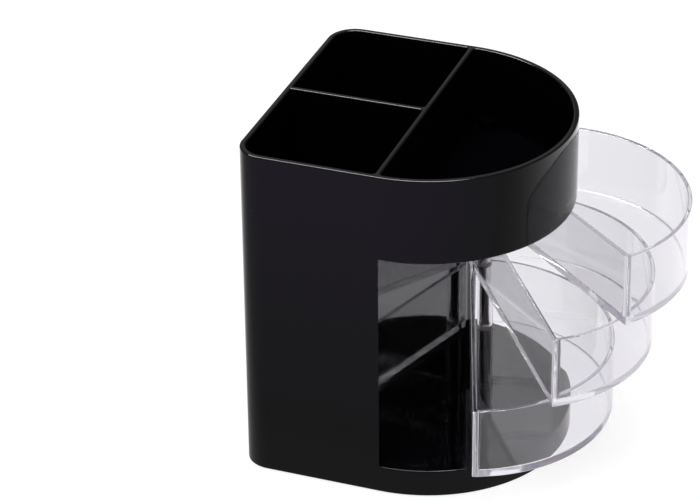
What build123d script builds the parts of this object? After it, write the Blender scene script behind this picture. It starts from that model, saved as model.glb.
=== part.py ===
from build123d import *
import os
from math import cos, radians, sin, sqrt

# A rotating desk organizer. A D-shaped housing carries two deep pen compartments behind and a
# half-moon tray on top of the round end. Under the tray, three clear half-disc drawers turn on one
# upright steel rod beside the partition, and are shown fanned open.
# Frame, in millimetres: +Z is up from the desk, +X runs along the length towards the round end,
# +Y points to the hinge side. The origin is the centre of the round end, on the desk.

# Outline of the housing, seen from above
half_width = 45.0  # half the width, and the radius of the round end
back_length = 45.5  # from the centre of the round end to the flat back
back_corner_radius = 8.8
wall = 1.8
divider = 1.6

# Heights above the desk
skirt_bottom = 0.5
deck_top = 9.2
deck_thickness = 1.8
bay_height = 72.3
tray_floor = 1.8
tray_depth = 25.7

# Rounded edges of the housing
rim_round = 0.5
lip_round = 0.5
compartment_round = 1.2

# Rod and washers
rod_radius = 1.25
rod_seat_clearance = 0.05
rod_grip = 3.0  # how far the rod goes up into the tray's socket
rod_end_gap = 0.3
rod_chamfer = 0.3
socket_wall = 1.5
washer_radius = 3.1
washer_thickness = 0.5
washer_clearance = 0.1

# Drawers
fan_angles = {"drawer_lower": 18.8, "drawer_middle": 34.6, "drawer_upper": 49.6}  # degrees open
drawer_front_inset = 0.2  # the closed fronts stand this far inside the round end
drawer_back_gap = 0.5  # between the partition and a closed drawer
drawer_wall = 1.3
drawer_floor = 1.8
drawer_rim_round = 0.3
drawer_foot_round = 0.4
drawer_corner_round = 0.4
drawer_inner_round = 1.0  # upright inner corners
drawer_floor_round = 0.7  # where the floor meets the walls inside
axial_play = 0.05
barrel_radius = 2.5
bore_clearance = 0.08
hinge_setback = 5.1  # from a closed drawer's straight back to the rod
hinge_edge_wall = 0.7  # between the barrel and the drawer's round outer face
pocket_clearance = 0.35  # round the corner of a drawer as it swings through the partition

# Base cover, pad and screws
pad_thickness = 1.0
pad_inset = 1.6
cover_thickness = 1.8
cover_gap = 0.2
screw_head_radius = 2.1
screw_head_height = 1.4
screw_shank_radius = 1.0
screw_length = 5.0
screw_pilot_radius = 0.85
screw_hole_radius = 1.25
screw_head_clearance = 0.3
screw_tip_gap = 0.5
screw_cup_height = 3.2
screw_boss_wall = 1.6
screw_edge_distance = 7.5  # from the outer face to a screw beside the flat walls
screw_front_angle = 42.0  # degrees from the length to the screws in the round end
recess_width = 0.5
recess_depth = 0.6
recess_edge = 0.85  # from the ends of the cross recess to the edge of the head

# Heights that follow
deck_underside = deck_top - deck_thickness
band_bottom = deck_top + bay_height
tray_top = band_bottom + tray_floor
rim_top = tray_top + tray_depth
cover_top = pad_thickness + cover_thickness
cup_top = pad_thickness + screw_cup_height
drawer_count = len(fan_angles)
stacked_play = drawer_count * 2 * axial_play
drawer_height = (bay_height - (drawer_count + 1) * washer_thickness - stacked_play) / drawer_count
drawer_pitch = drawer_height + washer_thickness + 2 * axial_play

# The drawers' outline and the hinge, with the drawers closed
partition_face = 0.0
drawer_radius = half_width - drawer_front_inset
drawer_back = partition_face + drawer_back_gap
hinge_radius = drawer_radius - hinge_edge_wall - barrel_radius
hinge_x = drawer_back + hinge_setback
hinge_y = sqrt(hinge_radius**2 - hinge_x**2)
drawer_corner_y = sqrt(drawer_radius**2 - drawer_back**2)
corner_reach = sqrt((hinge_x - drawer_back) ** 2 + (drawer_corner_y - hinge_y) ** 2)
pocket_radius = corner_reach + pocket_clearance
hinge = Pos(hinge_x, hinge_y, 0)


def plan_box(x_low, x_high, y_low, y_high):
    """A rectangle in plan, between two corners."""
    middle = Pos((x_low + x_high) / 2, (y_low + y_high) / 2, 0)
    return middle * Rectangle(x_high - x_low, y_high - y_low)


def prism(outline, low, high):
    """An outline in plan raised from one height to another."""
    return extrude(Pos(0, 0, low) * outline, high - low, dir=(0, 0, 1))


def post(radius, low, high):
    """An upright cylinder on the origin between two heights."""
    return prism(Circle(radius), low, high)


def housing_outline(inset):
    """The D of the housing in plan, drawn in by the inset all round."""
    half = half_width - inset
    back = -back_length + inset
    corners = [(0, half), (back, half), (back, -half), (0, -half)]
    sides = FilletPolyline(*corners, radius=back_corner_radius - inset)
    front = ThreePointArc((0, -half), (half, 0), (0, half))
    return make_face([*sides.edges(), front])


def front_half(outline, back):
    """The part of an outline in front of an upright plane."""
    return outline & plan_box(back, 2 * half_width, -2 * half_width, 2 * half_width)


def half_disc(inset):
    """A closed drawer in plan, drawn in by the inset all round."""
    return front_half(Circle(drawer_radius - inset), drawer_back + inset)


def screw_places():
    """Centres of the four screws that hold the base cover."""
    side = half_width - screw_edge_distance
    back = screw_edge_distance - back_length
    front_x = side * cos(radians(screw_front_angle))
    front_y = side * sin(radians(screw_front_angle))
    return [(back, -side), (back, side), (front_x, -front_y), (front_x, front_y)]


def pen_compartments():
    """The two deep compartments behind the partition, with the bulge round the hinge left standing."""
    inside = housing_outline(wall)
    far = back_length + half_width
    cuts = []
    for low, high in [(-far, -divider / 2), (divider / 2, far)]:
        plan = inside & plan_box(-far, partition_face - divider, low, high)
        corners = plan.vertices().group_by(Axis.X)[-1]
        cuts.append(prism(fillet(corners, compartment_round), deck_top, rim_top))
    bulge = hinge * post(pocket_radius + divider, deck_top, tray_top)
    return [cut - bulge for cut in cuts]


def half_moon_tray():
    """The shallow compartment over the drawers."""
    plan = front_half(housing_outline(wall), partition_face)
    corners = plan.vertices().group_by(Axis.X)[0]
    return prism(fillet(corners, compartment_round), tray_top, rim_top)


def rod_bosses():
    """The boss under the deck and the socket on the tray's floor that hold the rod."""
    radius = rod_radius + socket_wall
    top = band_bottom + rod_grip + rod_end_gap + socket_wall
    return [hinge * post(radius, cup_top, deck_underside), hinge * post(radius, band_bottom, top)]


def rod_hole():
    """The hole for the rod, through the deck and up into the socket."""
    top = band_bottom + rod_grip + rod_end_gap
    return hinge * post(rod_radius + rod_seat_clearance, skirt_bottom, top)


def screw_boss(place):
    """A boss under the deck for one of the base cover's screws."""
    return Pos(*place, 0) * post(screw_pilot_radius + screw_boss_wall, cup_top, deck_underside)


def screw_pilot(place):
    """The blind hole in a boss, a little deeper than the screw's tip."""
    tip = pad_thickness + screw_head_clearance + screw_head_height + screw_length
    return Pos(*place, 0) * post(screw_pilot_radius, skirt_bottom, tip + screw_tip_gap)


def housing():
    """The black moulding: outer wall, deck, partition, compartments and half-moon tray."""
    body = prism(housing_outline(0), skirt_bottom, rim_top)
    for compartment in pen_compartments():
        body -= compartment
    body -= half_moon_tray()
    rim_edges = body.edges().filter_by_position(Axis.Z, rim_top, rim_top)
    body = fillet(rim_edges, rim_round)
    bay = plan_box(partition_face, 2 * half_width, -2 * half_width, 2 * half_width)
    body -= prism(bay, deck_top, band_bottom)
    body -= prism(housing_outline(wall), skirt_bottom, deck_underside)
    lips = body.edges().filter_by(GeomType.CIRCLE).group_by(SortBy.RADIUS)[-1]
    bay_lips = lips.filter_by_position(Axis.Z, deck_top, deck_top)
    bay_lips += lips.filter_by_position(Axis.Z, band_bottom, band_bottom)
    body = fillet(bay_lips, lip_round)
    body -= hinge * post(pocket_radius, deck_top, band_bottom)
    for boss in rod_bosses():
        body += boss
    for place in screw_places():
        body += screw_boss(place)
        body -= screw_pilot(place)
    return body - rod_hole()


def drawer_floor_height(level):
    """Underside of a drawer, counted from the lowest."""
    return deck_top + washer_thickness + axial_play + level * drawer_pitch


def drawer(level, angle):
    """One clear drawer: a half-disc tray with its hinge barrel, turned open by the angle."""
    low = drawer_floor_height(level)
    high = low + drawer_height
    plan = half_disc(0)
    tray = prism(fillet(plan.vertices(), drawer_corner_round), low, high)
    foot_edges = tray.edges().filter_by_position(Axis.Z, low, low)
    tray = fillet(foot_edges, drawer_foot_round)
    hollow_plan = fillet(half_disc(drawer_wall).vertices(), drawer_inner_round)
    hollow = prism(hollow_plan, low + drawer_floor, high)
    floor_edges = hollow.edges().filter_by_position(Axis.Z, low + drawer_floor, low + drawer_floor)
    tray -= fillet(floor_edges, drawer_floor_round)
    rim_edges = tray.edges().filter_by_position(Axis.Z, high, high)
    tray = fillet(rim_edges, drawer_rim_round)
    tray += hinge * post(barrel_radius, low, high)
    tray -= hinge * post(rod_radius + bore_clearance, low, high)
    return hinge * Rot(0, 0, angle) * hinge.inverse() * tray


def washer(level):
    """A thin washer on the rod: under the lowest drawer, between drawers, or over the highest."""
    low = deck_top + level * drawer_pitch
    ring = Circle(washer_radius) - Circle(rod_radius + washer_clearance)
    return hinge * prism(ring, low, low + washer_thickness)


def hinge_rod():
    """The steel rod, which stands on the base cover and ends in the tray's socket."""
    rod = post(rod_radius, cover_top, band_bottom + rod_grip)
    return hinge * chamfer(rod.edges().filter_by(GeomType.CIRCLE), rod_chamfer)


def base_cover():
    """The plate that closes the housing from below and carries the rod, with cups for the screws."""
    cover = prism(housing_outline(wall + cover_gap), pad_thickness, cover_top)
    head_hole = screw_head_radius + screw_head_clearance
    shelf = pad_thickness + screw_head_clearance + screw_head_height
    for place in screw_places():
        spot = Pos(*place, 0)
        cover += spot * post(head_hole + screw_boss_wall, pad_thickness, cup_top)
        cover -= spot * post(head_hole, pad_thickness, shelf)
        cover -= spot * post(screw_hole_radius, pad_thickness, cup_top)
    return cover


def base_pad():
    """The soft pad under the cover that the organizer stands on."""
    return prism(housing_outline(wall + pad_inset), 0, pad_thickness)


def cover_screw(place):
    """A pan-head screw with a cross recess, driven up from below."""
    low = pad_thickness + screw_head_clearance
    head_top = low + screw_head_height
    head = post(screw_head_radius, low, head_top)
    low_edges = head.edges().filter_by_position(Axis.Z, low, low)
    head = fillet(low_edges, screw_head_height / 2)
    shank = post(screw_shank_radius, head_top, head_top + screw_length)
    tip_edges = shank.edges().filter_by_position(Axis.Z, head_top + screw_length, head_top + screw_length)
    screw = head + chamfer(tip_edges, screw_shank_radius / 2)
    arm = screw_head_radius - recess_edge
    for across, along in [(arm, recess_width / 2), (recess_width / 2, arm)]:
        screw -= prism(plan_box(-across, across, -along, along), low, low + recess_depth)
    return Pos(*place, 0) * screw


def main():
    os.makedirs("parts", exist_ok=True)
    pieces = {
        "housing": housing(),
        "base_cover": base_cover(),
        "base_pad": base_pad(),
        "hinge_rod": hinge_rod(),
    }
    for number, place in enumerate(screw_places(), start=1):
        pieces[f"cover_screw_{number}"] = cover_screw(place)
    for level, (name, angle) in enumerate(fan_angles.items()):
        pieces[name] = drawer(level, angle)
    for level in range(drawer_count + 1):
        pieces[f"washer_{level + 1}"] = washer(level)
    for name, piece in pieces.items():
        export_step(piece, f"parts/{name}.step")


main()
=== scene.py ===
"""Looks of a rotating desk organizer with three clear drawers that swing out on one upright rod.

Lengths are metres in the frame of the model: +Z is up from the desk, +X runs towards the round end
and +Y to the side of the hinge rod.
"""

import logging
import math
from dataclasses import dataclass
from enum import Enum
from typing import Iterable, Mapping, Sequence, Union

import bmesh
import bpy
from mathutils import Matrix, Vector

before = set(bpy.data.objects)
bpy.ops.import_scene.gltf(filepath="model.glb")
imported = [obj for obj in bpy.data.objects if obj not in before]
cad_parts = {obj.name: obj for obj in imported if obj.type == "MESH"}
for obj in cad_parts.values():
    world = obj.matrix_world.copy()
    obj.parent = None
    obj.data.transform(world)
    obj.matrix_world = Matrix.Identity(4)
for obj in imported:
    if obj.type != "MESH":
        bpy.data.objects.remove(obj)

LOG = logging.getLogger("desk_organizer")

Colour = tuple[float, float, float]
Point = tuple[float, float, float]
Stops = Sequence[tuple[float, float]]
Number = Union["Signal", float]

BLACK: Colour = (0.0, 0.0, 0.0)


def opaque(colour: Colour) -> tuple[float, float, float, float]:
    """A colour with full alpha, as colour sockets want it."""
    return (*colour, 1.0)


def rising(start: float, full: float) -> Stops:
    """Stops of a ramp that is nought up to the start and one from where it is full."""
    return ((start, 0.0), (full, 1.0))


# ---------------------------------------------------------------- shader maths


@dataclass(frozen=True)
class Signal:
    """A shader output that takes part in arithmetic, one Math node for each operation."""

    graph: "ShaderGraph"
    socket: bpy.types.NodeSocket

    def _math(self, operation: str, first: Number, second: Number) -> "Signal":
        """Adds a Math node on two numbers or signals."""
        return self.graph.node("ShaderNodeMath", {"operation": operation}, {0: first, 1: second})

    def __add__(self, other: Number) -> "Signal":
        """This signal plus the other."""
        return self._math("ADD", self, other)

    def __radd__(self, other: Number) -> "Signal":
        """The other plus this signal."""
        return self._math("ADD", other, self)

    def __sub__(self, other: Number) -> "Signal":
        """This signal less the other."""
        return self._math("SUBTRACT", self, other)

    def __rsub__(self, other: Number) -> "Signal":
        """The other less this signal."""
        return self._math("SUBTRACT", other, self)

    def __mul__(self, other: Number) -> "Signal":
        """This signal times the other."""
        return self._math("MULTIPLY", self, other)

    def __rmul__(self, other: Number) -> "Signal":
        """The other times this signal."""
        return self._math("MULTIPLY", other, self)

    def __gt__(self, other: Number) -> "Signal":
        """One where this signal is over the other, and nought elsewhere."""
        return self._math("GREATER_THAN", self, other)

    def __lt__(self, other: Number) -> "Signal":
        """One where this signal is under the other, and nought elsewhere."""
        return self._math("LESS_THAN", self, other)

    def at_most(self, other: Number) -> "Signal":
        """The lower of this signal and the other."""
        return self._math("MINIMUM", self, other)


@dataclass(frozen=True)
class Cloud:
    """Soft noise, with its features for each metre, alike or by axis, and the finer layers added."""

    scale: Union[float, Point]
    detail: float = 2.0

    def by_axis(self) -> Point:
        """Features for each metre along X, Y and Z."""
        return (self.scale,) * 3 if isinstance(self.scale, float) else self.scale


@dataclass(frozen=True)
class Cells:
    """Scattered cells, with their number for each metre and how far each strays from a grid."""

    scale: float
    scatter: float


class ShaderGraph:
    """The nodes of one material or world, built from an empty tree."""

    def __init__(self, owner: Union[bpy.types.Material, bpy.types.World]) -> None:
        """Empties the owner's node tree.

        Args:
            owner: The material or world to build in.
        """
        owner.use_nodes = True
        self.tree = owner.node_tree
        self.tree.nodes.clear()

    def node(
        self,
        kind: str,
        settings: Mapping[str, object] | None = None,
        inputs: Mapping[Union[str, int], object] | None = None,
        output: Union[str, int] = 0,
    ) -> Signal:
        """Adds one node.

        Args:
            kind: The node's type.
            settings: Properties set before the sockets; "stops" are a ramp's (position, grey) pairs.
            inputs: Values or signals by the socket's name or number.
            output: The socket to return.

        Returns:
            The chosen output.
        """
        made = self.tree.nodes.new(kind)
        for name, value in (settings or {}).items():
            if name == "stops":
                self._set_stops(made.color_ramp, value)
            else:
                setattr(made, name, value)
        for name, value in (inputs or {}).items():
            if isinstance(value, Signal):
                self.tree.links.new(value.socket, made.inputs[name])
            else:
                made.inputs[name].default_value = value
        return Signal(self, made.outputs[output])

    @staticmethod
    def _set_stops(ramp: bpy.types.ColorRamp, stops: Stops) -> None:
        """Gives a colour ramp its grey stops.

        Args:
            ramp: The ramp to set.
            stops: Position and grey of each stop, in order.
        """
        while len(ramp.elements) < len(stops):
            ramp.elements.new(1.0)
        for element, (position, grey) in zip(ramp.elements, stops):
            element.position = position
            element.color = opaque((grey, grey, grey))

    def place(self) -> Signal:
        """Where a shaded point is, in the object's own coordinates."""
        return self.node("ShaderNodeTexCoord", output="Object")

    def along(self, axis: str, vector: Signal) -> Signal:
        """One axis of a vector."""
        return self.node("ShaderNodeSeparateXYZ", None, {0: vector}, axis)

    def ray(self, output: str) -> Signal:
        """What kind of ray sees a point, or how often a gloss has turned it."""
        return self.node("ShaderNodeLightPath", output=output)

    def noise(self, cloud: Cloud) -> Signal:
        """Cloudy noise in object coordinates.

        Args:
            cloud: Its scale and detail.

        Returns:
            Noise from nought to one.
        """
        stretch = {"Vector": self.place(), "Scale": cloud.by_axis()}
        stretched = self.node("ShaderNodeMapping", None, stretch)
        inputs = {"Vector": stretched, "Scale": 1.0, "Detail": cloud.detail}
        return self.node("ShaderNodeTexNoise", {"noise_dimensions": "3D"}, inputs, "Fac")

    def distance_in(self, cells: Cells) -> Signal:
        """How far a point is from the middle of the nearest cell, in cell widths."""
        inputs = {"Vector": self.place(), "Scale": cells.scale, "Randomness": cells.scatter}
        return self.node("ShaderNodeTexVoronoi", None, inputs, "Distance")

    def ramp(self, value: Signal, stops: Stops) -> Signal:
        """A number looked up in a ramp of grey stops."""
        return self.node("ShaderNodeValToRGB", {"stops": stops}, {"Fac": value})

    def blend_colour(self, factor: Signal, low: Colour, high: Colour) -> Signal:
        """Mixes two colours, the low one at nought and the high one at one."""
        # Of this node's sockets, 6 and 7 take the colours and output 2 gives their mixture.
        inputs = {0: factor, 6: opaque(low), 7: opaque(high)}
        return self.node("ShaderNodeMix", {"data_type": "RGBA"}, inputs, 2)

    def bump(self, height: Signal, distance: float) -> Signal:
        """Turns a height from nought to one into a normal, for a distance in metres."""
        return self.node("ShaderNodeBump", None, {"Height": height, "Distance": distance, "Strength": 1.0})

    def principled(self, inputs: Mapping[str, object]) -> Signal:
        """The surface shader with the given sockets set or linked."""
        return self.node("ShaderNodeBsdfPrincipled", None, inputs)

    def mix_shader(self, factor: Signal, first: Signal, second: Signal) -> Signal:
        """The first shader at nought and the second at one."""
        return self.node("ShaderNodeMixShader", None, {0: factor, 1: first, 2: second})

    def finish(self, surface: Signal, kind: str = "ShaderNodeOutputMaterial") -> None:
        """Links a surface to the tree's output."""
        made = self.tree.nodes.new(kind)
        self.tree.links.new(surface.socket, made.inputs["Surface"])


# ---------------------------------------------------------------- finishes


@dataclass(frozen=True)
class Finish:
    """A material that nodes of the model take."""

    name: str

    def surface(self, graph: ShaderGraph) -> Signal:
        """The finish's shader, which each kind of finish writes."""
        raise NotImplementedError

    def material(self) -> bpy.types.Material:
        """Builds the material once and finds it again after that.

        Returns:
            The material.
        """
        found = bpy.data.materials.get(self.name)
        if found is not None:
            return found
        made = bpy.data.materials.new(self.name)
        made.cycles.emission_sampling = "NONE"
        graph = ShaderGraph(made)
        graph.finish(self.surface(graph))
        return made

    def dress(self, names: Iterable[str]) -> list[bpy.types.Object]:
        """Gives nodes of the model this finish all over.

        Args:
            names: The nodes' names.

        Returns:
            The pieces dressed.
        """
        pieces = [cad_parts[name] for name in names]
        for piece in pieces:
            if not piece.data.materials:
                piece.data.materials.append(self.material())
            for place in range(len(piece.data.materials)):
                piece.data.materials[place] = self.material()
        return pieces


@dataclass(frozen=True)
class PolishedBlack(Finish):
    """Mirror-polished black styrene with faint orange peel, rubbed patches and a little dust.

    Its reflectance is about a third of what its refraction alone would give, which is 0.5 here.
    """

    name: str = "polished_black_styrene"
    body: Colour = (0.0020, 0.0016, 0.0028)
    dust: Colour = (0.05, 0.048, 0.05)
    gloss_roughness: float = 0.035
    rubbed_roughness: float = 0.05
    dust_roughness: float = 0.3
    refraction: float = 1.59
    reflectance: float = 0.17
    peel: Cloud = Cloud(420.0, detail=1.0)
    peel_height: float = 0.5e-6
    rubbing: Cloud = Cloud(38.0, detail=4.0)
    rubbed_stops: Stops = rising(0.4, 0.75)
    specks: Cells = Cells(160.0, scatter=1.0)
    speck_size: float = 0.035
    dust_patches: Cloud = Cloud(60.0, detail=1.0)
    dusty_over: float = 0.6

    def surface(self, graph: ShaderGraph) -> Signal:
        """Black under a clear gloss that dust and wiping dull in places.

        Args:
            graph: The tree to build in.

        Returns:
            The shader.
        """
        speck = graph.distance_in(self.specks) < self.speck_size
        dusty = speck * (graph.noise(self.dust_patches) > self.dusty_over)
        rubbed = graph.ramp(graph.noise(self.rubbing), self.rubbed_stops)
        gloss = self.gloss_roughness + rubbed * self.rubbed_roughness
        return graph.principled(
            {
                "Base Color": graph.blend_colour(dusty, self.body, self.dust),
                "Roughness": gloss + dusty * self.dust_roughness,
                "IOR": self.refraction,
                "Specular IOR Level": self.reflectance,
                "Normal": graph.bump(graph.noise(self.peel), self.peel_height),
            }
        )


@dataclass(frozen=True)
class ClearStyrene(Finish):
    """Water-clear styrene with a breath of lilac, slight moulding waves and handling marks.

    Rays that the walls turn more often than trapped_over allows end on a faint painted glow that the
    plastic emits, which stands in for light piped along the walls and keeps the edges pale.
    """

    name: str = "clear_styrene"
    tint: Colour = (0.975, 0.972, 0.987)
    # Colour of the painted glow that the plastic emits on rays trapped in its walls.
    painted_trapped_glow: Colour = (0.0145, 0.0138, 0.0165)
    trapped_over: float = 3.5
    clear_roughness: float = 0.012
    handled_roughness: float = 0.03
    scratch_roughness: float = 0.05
    refraction: float = 1.54
    handling: Cloud = Cloud(55.0, detail=5.0)
    handled_stops: Stops = rising(0.52, 0.8)
    hairlines: Cloud = Cloud((30.0, 900.0, 900.0), detail=1.0)
    scratch_stops: Stops = rising(0.74, 0.78)
    waves: Cloud = Cloud(70.0, detail=0.0)
    wave_height: float = 6.0e-6

    def surface(self, graph: ShaderGraph) -> Signal:
        """A refracting body whose gloss is hazed where hands have been, with a faint painted glow where
        rays stay trapped in the walls.

        Args:
            graph: The tree to build in.

        Returns:
            The shader.
        """
        handled = graph.ramp(graph.noise(self.handling), self.handled_stops)
        scratched = graph.ramp(graph.noise(self.hairlines), self.scratch_stops)
        smooth = self.clear_roughness + handled * self.handled_roughness
        trapped = graph.ray("Glossy Depth") > self.trapped_over
        return graph.principled(
            {
                "Base Color": opaque(self.tint),
                "Roughness": smooth + scratched * self.scratch_roughness,
                "IOR": self.refraction,
                "Transmission Weight": 1.0,
                # Painted glow: the plastic emits a faint light on trapped rays, standing in for light
                # piped along the walls.
                "Emission Color": graph.blend_colour(trapped, BLACK, self.painted_trapped_glow),
                "Emission Strength": 1.0,
                "Normal": graph.bump(graph.noise(self.waves), self.wave_height),
            }
        )


@dataclass(frozen=True)
class DrawnSteel(Finish):
    """Dark-plated drawn steel with fine lines along its length."""

    name: str = "drawn_steel"
    bright: Colour = (0.30, 0.27, 0.265)
    dull: Colour = (0.16, 0.143, 0.14)
    smooth_roughness: float = 0.05
    line_roughness: float = 0.08
    lines: Cloud = Cloud((9000.0, 9000.0, 120.0))
    line_height: float = 1.5e-6

    def surface(self, graph: ShaderGraph) -> Signal:
        """Metal whose brightness, roughness and height follow the draw lines.

        Args:
            graph: The tree to build in.

        Returns:
            The shader.
        """
        line = graph.noise(self.lines)
        return graph.principled(
            {
                "Base Color": graph.blend_colour(line, self.dull, self.bright),
                "Metallic": 1.0,
                "Roughness": self.smooth_roughness + line * self.line_roughness,
                "Normal": graph.bump(line, self.line_height),
            }
        )


@dataclass(frozen=True)
class ZincSteel(Finish):
    """Zinc-plated steel of small screws, a little blotchy."""

    name: str = "zinc_plated_steel"
    pale: Colour = (0.62, 0.63, 0.66)
    dark: Colour = (0.38, 0.38, 0.36)
    plated_roughness: float = 0.24
    blotch_roughness: float = 0.2
    blotches: Cloud = Cloud(900.0, detail=3.0)
    grain: Cloud = Cloud(14000.0, detail=1.0)
    grain_height: float = 1.0e-6

    def surface(self, graph: ShaderGraph) -> Signal:
        """Metal with cloudy plating and fine grain.

        Args:
            graph: The tree to build in.

        Returns:
            The shader.
        """
        blotch = graph.noise(self.blotches)
        return graph.principled(
            {
                "Base Color": graph.blend_colour(blotch, self.dark, self.pale),
                "Metallic": 1.0,
                "Roughness": self.plated_roughness + blotch * self.blotch_roughness,
                "Normal": graph.bump(graph.noise(self.grain), self.grain_height),
            }
        )


@dataclass(frozen=True)
class NaturalNylon(Finish):
    """Milky nylon of the washers."""

    name: str = "natural_nylon"
    milky: Colour = (0.82, 0.81, 0.80)
    worn: Colour = (0.62, 0.61, 0.60)
    satin_roughness: float = 0.12
    cloud_roughness: float = 0.12
    refraction: float = 1.53
    clearness: float = 0.85
    clouding: Cloud = Cloud(1200.0)
    texture: Cloud = Cloud(6000.0, detail=1.0)
    texture_height: float = 2.0e-6

    def surface(self, graph: ShaderGraph) -> Signal:
        """Half-clear plastic with a satin face.

        Args:
            graph: The tree to build in.

        Returns:
            The shader.
        """
        cloudy = graph.noise(self.clouding)
        return graph.principled(
            {
                "Base Color": graph.blend_colour(cloudy, self.worn, self.milky),
                "Roughness": self.satin_roughness + cloudy * self.cloud_roughness,
                "IOR": self.refraction,
                "Transmission Weight": self.clearness,
                "Normal": graph.bump(graph.noise(self.texture), self.texture_height),
            }
        )


@dataclass(frozen=True)
class GrainedBlack(Finish):
    """Black plastic with the fine spark grain of an unseen underside."""

    name: str = "grained_black_plastic"
    body: Colour = (0.014, 0.014, 0.016)
    scuffed: Colour = (0.035, 0.035, 0.037)
    dull_roughness: float = 0.42
    grain_roughness: float = 0.25
    refraction: float = 1.52
    scuffs: Cloud = Cloud(90.0, detail=5.0)
    scuff_stops: Stops = rising(0.5, 0.72)
    grain: Cloud = Cloud(5200.0)
    grain_height: float = 14.0e-6

    def surface(self, graph: ShaderGraph) -> Signal:
        """Dull black with grain, and paler where it has been scuffed.

        Args:
            graph: The tree to build in.

        Returns:
            The shader.
        """
        scuff = graph.ramp(graph.noise(self.scuffs), self.scuff_stops)
        grainy = graph.noise(self.grain)
        return graph.principled(
            {
                "Base Color": graph.blend_colour(scuff, self.body, self.scuffed),
                "Roughness": self.dull_roughness + grainy * self.grain_roughness,
                "IOR": self.refraction,
                "Normal": graph.bump(grainy, self.grain_height),
            }
        )


@dataclass(frozen=True)
class PebbledRubber(Finish):
    """Non-slip rubber sheet with a pebbled face."""

    name: str = "pebbled_rubber"
    body: Colour = (0.018, 0.018, 0.018)
    dusty: Colour = (0.06, 0.058, 0.055)
    matt_roughness: float = 0.8
    hollow_roughness: float = 0.1
    pebbles: Cells = Cells(900.0, scatter=0.7)
    pebble_height: float = 60.0e-6
    hollow_stops: Stops = rising(0.35, 0.8)
    dust_patches: Cloud = Cloud(70.0, detail=3.0)

    def surface(self, graph: ShaderGraph) -> Signal:
        """Matt rubber whose hollows hold a little dust.

        Args:
            graph: The tree to build in.

        Returns:
            The shader.
        """
        outward = graph.distance_in(self.pebbles)
        hollow = graph.ramp(outward, self.hollow_stops)
        dust = hollow * graph.noise(self.dust_patches)
        return graph.principled(
            {
                "Base Color": graph.blend_colour(dust, self.body, self.dusty),
                "Roughness": self.matt_roughness + hollow * self.hollow_roughness,
                "Normal": graph.bump(1.0 - outward, self.pebble_height),
            }
        )


# ---------------------------------------------------------------- the object


class Drawer(Enum):
    """The drawers' nodes, from the deck up."""

    LOWER = "drawer_lower"
    MIDDLE = "drawer_middle"
    UPPER = "drawer_upper"


@dataclass
class Housing:
    """The black moulding with its pen compartments, tray, partition and deck."""

    shell: str = "housing"
    finish: Finish = PolishedBlack()

    def dress(self) -> list[bpy.types.Object]:
        """Polishes the moulding and returns it."""
        return self.finish.dress([self.shell])


@dataclass
class DrawerStack:
    """The three clear drawers that fan out under the tray."""

    drawers: Sequence[Drawer] = tuple(Drawer)
    finish: Finish = ClearStyrene()

    def dress(self) -> list[bpy.types.Object]:
        """Makes each drawer clear and returns them."""
        return self.finish.dress(drawer.value for drawer in self.drawers)


@dataclass
class HingePin:
    """The upright rod and the washers that part the drawers on it."""

    rod: str = "hinge_rod"
    washers: Sequence[str] = tuple(f"washer_{number}" for number in range(1, 5))
    rod_finish: Finish = DrawnSteel()
    washer_finish: Finish = NaturalNylon()

    def dress(self) -> list[bpy.types.Object]:
        """Plates the rod, makes the washers milky and returns them all."""
        return self.rod_finish.dress([self.rod]) + self.washer_finish.dress(self.washers)


@dataclass
class Underside:
    """The base cover with its four screws, and the sheet that the organizer stands on."""

    cover: str = "base_cover"
    pad: str = "base_pad"
    screws: Sequence[str] = tuple(f"cover_screw_{number}" for number in range(1, 5))
    cover_finish: Finish = GrainedBlack()
    pad_finish: Finish = PebbledRubber()
    screw_finish: Finish = ZincSteel()

    def dress(self) -> list[bpy.types.Object]:
        """Finishes everything that is under the deck and returns it."""
        plates = self.cover_finish.dress([self.cover]) + self.pad_finish.dress([self.pad])
        return plates + self.screw_finish.dress(self.screws)


# ---------------------------------------------------------------- studio


@dataclass(frozen=True)
class Viewpoint:
    """Where the photograph was taken from."""

    azimuth: float = math.radians(20.525)
    elevation: float = math.radians(30.072)
    roll: float = math.radians(0.649)
    position: Point = (0.26437, -0.77416, 0.53424)
    lens_mm: float = 158.80

    def matrix(self) -> Matrix:
        """The camera's place and turn.

        Returns:
            Its world matrix.
        """
        sin_a, cos_a = math.sin(self.azimuth), math.cos(self.azimuth)
        sin_e, cos_e = math.sin(self.elevation), math.cos(self.elevation)
        back = Vector((sin_a * cos_e, -cos_a * cos_e, sin_e))
        level_right = Vector((cos_a, sin_a, 0.0))
        level_down = Vector((sin_a * sin_e, -cos_a * sin_e, -cos_e))
        right = level_right * math.cos(self.roll) + level_down * math.sin(self.roll)
        down = level_down * math.cos(self.roll) - level_right * math.sin(self.roll)
        turn = Matrix((right, -down, back)).transposed().to_4x4()
        return Matrix.Translation(self.position) @ turn

    def build(self) -> None:
        """Adds the camera and makes it the scene's."""
        data = bpy.data.cameras.new("photo_camera")
        data.lens = self.lens_mm
        camera = bpy.data.objects.new("photo_camera", data)
        camera.matrix_world = self.matrix()
        bpy.context.scene.collection.objects.link(camera)
        bpy.context.scene.camera = camera


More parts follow.
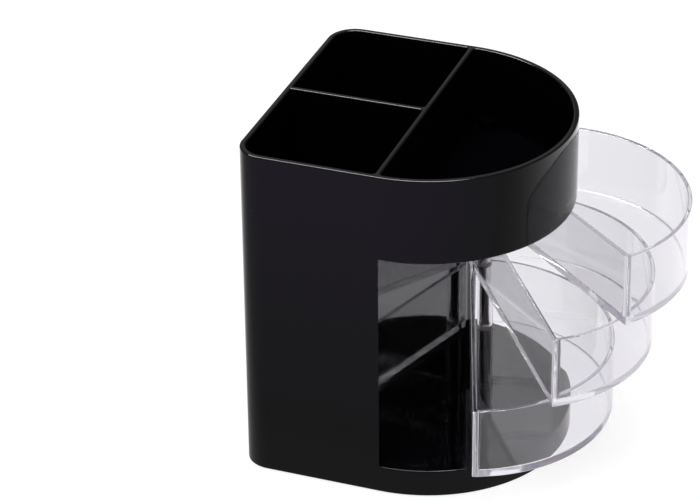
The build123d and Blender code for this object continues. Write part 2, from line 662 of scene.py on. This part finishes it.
@dataclass(frozen=True)
class Softbox:
    """One soft rectangular lamp that points at the object.

    A lamp overhead has its width along Y and its depth along X. One that is for sheen only shows in
    gloss and clear plastic, and lights no matt surface.
    """

    name: str
    place: Point
    width: float
    depth: float
    radiance: float
    target: Point = (0.0, 0.0, 0.05)
    sheen_only: bool = False

    def build(self) -> None:
        """Adds the lamp with the power that its radiance and size need."""
        data = bpy.data.lights.new(self.name, "AREA")
        data.shape = "RECTANGLE"
        data.size = self.width
        data.size_y = self.depth
        data.energy = math.pi * self.width * self.depth * self.radiance
        lamp = bpy.data.objects.new(self.name, data)
        lamp.location = self.place
        lamp.visible_diffuse = not self.sheen_only
        aim = Vector(self.target) - Vector(self.place)
        lamp.rotation_mode = "QUATERNION"
        lamp.rotation_quaternion = aim.to_track_quat("-Z", "Y")
        bpy.context.scene.collection.objects.link(lamp)


LAMPS = (
    Softbox("overhead", place=(-0.15, -0.25, 1.3), width=0.9, depth=0.9, radiance=3.0),
    Softbox("strip", place=(-0.30, 0.0, 1.25), width=0.36, depth=1.3, radiance=42.0, sheen_only=True),
    Softbox("behind", place=(-0.9, 1.5, 0.9), width=1.0, depth=0.8, radiance=0.3),
)


@dataclass
class Studio:
    """A pale table lit softly, which reflections show brighter behind the object than in front.

    A ray that clear plastic has turned inside itself more often than piped_over allows finds a dim
    room. One that the plastic's face has thrown off finds a slightly dimmer table than the others.
    """

    # The table as the camera and matt surfaces find it.
    floor_half_width: float = 6.0
    floor_colour: Colour = (0.30, 0.30, 0.30)
    backdrop_glow: float = 0.84

    # The table through clear plastic.
    through_floor: float = 0.915
    through_tint: Colour = (0.992, 0.985, 1.012)
    thrown_loss: float = 0.10
    piped_over: float = 2.5
    piped_glow: float = 0.50

    # The table in reflections, where the stops run from its front to its back.
    reflected_floor: float = 1.45
    floor_front_y: float = -0.30
    floor_back_y: float = 0.20
    floor_stops: Stops = ((0.0, 0.50), (0.2, 0.46), (0.45, 0.31), (0.56, 0.40), (0.84, 1.0))
    back_tint: Colour = (1.0, 0.97, 1.0)
    front_tint: Colour = (0.97, 0.87, 1.16)
    front_stops: Stops = ((0.2, 1.0), (0.45, 0.0))

    # The room on matt surfaces, in reflections and through clear plastic.
    ambient: float = 0.50
    reflected_back: float = 0.22
    reflected_top: float = 0.80
    top_stops: Stops = rising(0.5, 0.95)
    clear_sky: float = 0.70
    dark_card: float = 0.03
    card_right: Stops = rising(0.0, 0.1)
    card_behind: Stops = rising(0.0, 0.3)
    card_raised: Stops = rising(0.1, 0.25)

    light_bounces: int = 32
    diffuse_bounces: int = 3
    lamps: Sequence[Softbox] = LAMPS
    viewpoint: Viewpoint = Viewpoint()

    @staticmethod
    def _mirrored(graph: ShaderGraph) -> Signal:
        """One for rays that a gloss has thrown back, and nought for clear plastic's own rays."""
        return graph.ray("Is Glossy Ray") * (1.0 - graph.ray("Is Transmission Ray"))

    def _table(self, graph: ShaderGraph) -> Signal:
        """Matt, and white to the camera.

        Args:
            graph: The tree to build in.

        Returns:
            The shader.
        """
        matt = graph.node("ShaderNodeBsdfDiffuse", None, {"Color": opaque(self.floor_colour)})
        strength = graph.ray("Is Camera Ray") * self.backdrop_glow
        glow = graph.node("ShaderNodeEmission", None, {"Strength": strength})
        return graph.node("ShaderNodeAddShader", None, {0: matt, 1: glow})

    def _table_reflected(self, graph: ShaderGraph) -> Signal:
        """The table as a gloss reflects it, darkest a little in front of the object.

        Args:
            graph: The tree to build in.

        Returns:
            The shader.
        """
        across = graph.along("Y", graph.place())
        span = {"Value": across, "From Min": self.floor_front_y, "From Max": self.floor_back_y}
        backwards = graph.node("ShaderNodeMapRange", None, span)
        in_front = graph.ramp(backwards, self.front_stops)
        tint = graph.blend_colour(in_front, self.back_tint, self.front_tint)
        strength = graph.ramp(backwards, self.floor_stops) * self.reflected_floor
        return graph.node("ShaderNodeEmission", None, {"Color": tint, "Strength": strength})

    def _table_through(self, graph: ShaderGraph) -> Signal:
        """The table as it shows through clear plastic.

        Args:
            graph: The tree to build in.

        Returns:
            The shader.
        """
        turned = graph.ray("Glossy Depth")
        thrown = turned.at_most(1.0) * self.thrown_loss
        dimmed = self.piped_glow + self.thrown_loss - self.through_floor
        strength = self.through_floor - thrown + (turned > self.piped_over) * dimmed
        inputs = {"Color": opaque(self.through_tint), "Strength": strength}
        return graph.node("ShaderNodeEmission", None, inputs)

    def _floor_material(self) -> bpy.types.Material:
        """One table for the camera, one for reflections and one for clear plastic.

        Returns:
            The floor's material.
        """
        made = bpy.data.materials.new("studio_floor")
        graph = ShaderGraph(made)
        mirrored = self._mirrored(graph)
        plain = graph.mix_shader(mirrored, self._table(graph), self._table_reflected(graph))
        through = graph.ray("Is Transmission Ray")
        graph.finish(graph.mix_shader(through, plain, self._table_through(graph)))
        return made

    def _sky_through(self, graph: ShaderGraph, direction: Signal) -> Signal:
        """How bright clear plastic shows the room, with its dark card high at the back on the right.

        Args:
            graph: The tree to build in.
            direction: Where the ray goes.

        Returns:
            The strength.
        """
        on_right = graph.ramp(graph.along("X", direction), self.card_right)
        behind = graph.ramp(graph.along("Y", direction), self.card_behind)
        raised = graph.ramp(graph.along("Z", direction), self.card_raised)
        piped = graph.ray("Glossy Depth") > self.piped_over
        card = on_right * behind * raised * (1.0 - piped)
        darkened = self.clear_sky - card * (self.clear_sky - self.dark_card)
        return darkened + piped * (self.piped_glow - self.clear_sky)

    def _world(self) -> None:
        """White round about, and dimmer in gloss and clear plastic."""
        world = bpy.data.worlds.new("studio_world")
        graph = ShaderGraph(world)
        direction = graph.node("ShaderNodeTexCoord", output="Generated")
        clear = self._sky_through(graph, direction)
        top = graph.ramp(graph.along("Z", direction), self.top_stops)
        reflected = self.reflected_back + top * (self.reflected_top - self.reflected_back)
        seen = graph.ray("Is Camera Ray")
        through = graph.ray("Is Transmission Ray")
        mirrored = self._mirrored(graph)
        other = (1.0 - seen) * (1.0 - through) * (1.0 - mirrored)
        level = seen + through * clear + mirrored * reflected + other * self.ambient
        sky = graph.node("ShaderNodeBackground", None, {"Strength": level})
        graph.finish(sky, "ShaderNodeOutputWorld")
        bpy.context.scene.world = world

    def _floor(self) -> None:
        """Lays the table."""
        plane = bmesh.new()
        bmesh.ops.create_grid(plane, x_segments=1, y_segments=1, size=self.floor_half_width)
        mesh = bpy.data.meshes.new("floor")
        plane.to_mesh(mesh)
        plane.free()
        mesh.materials.append(self._floor_material())
        floor = bpy.data.objects.new("floor", mesh)
        bpy.context.scene.collection.objects.link(floor)

    def build(self) -> None:
        """Adds the floor, the world, the lamps and the camera."""
        self._floor()
        self._world()
        for lamp in self.lamps:
            lamp.build()
        self.viewpoint.build()
        scene = bpy.context.scene
        scene.view_settings.view_transform = "Standard"
        scene.cycles.max_bounces = self.light_bounces
        scene.cycles.glossy_bounces = self.light_bounces
        scene.cycles.transmission_bounces = self.light_bounces
        scene.cycles.diffuse_bounces = self.diffuse_bounces


# ---------------------------------------------------------------- build


def main() -> None:
    """Dresses each sub-assembly, then sets up the studio."""
    logging.basicConfig(level=logging.INFO, format="%(message)s")
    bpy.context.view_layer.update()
    for assembly in (Housing(), DrawerStack(), HingePin(), Underside()):
        for piece in assembly.dress():
            LOG.info("%s: %s", type(assembly).__name__, piece.name)
    Studio().build()


if __name__ == "__main__":
    main()
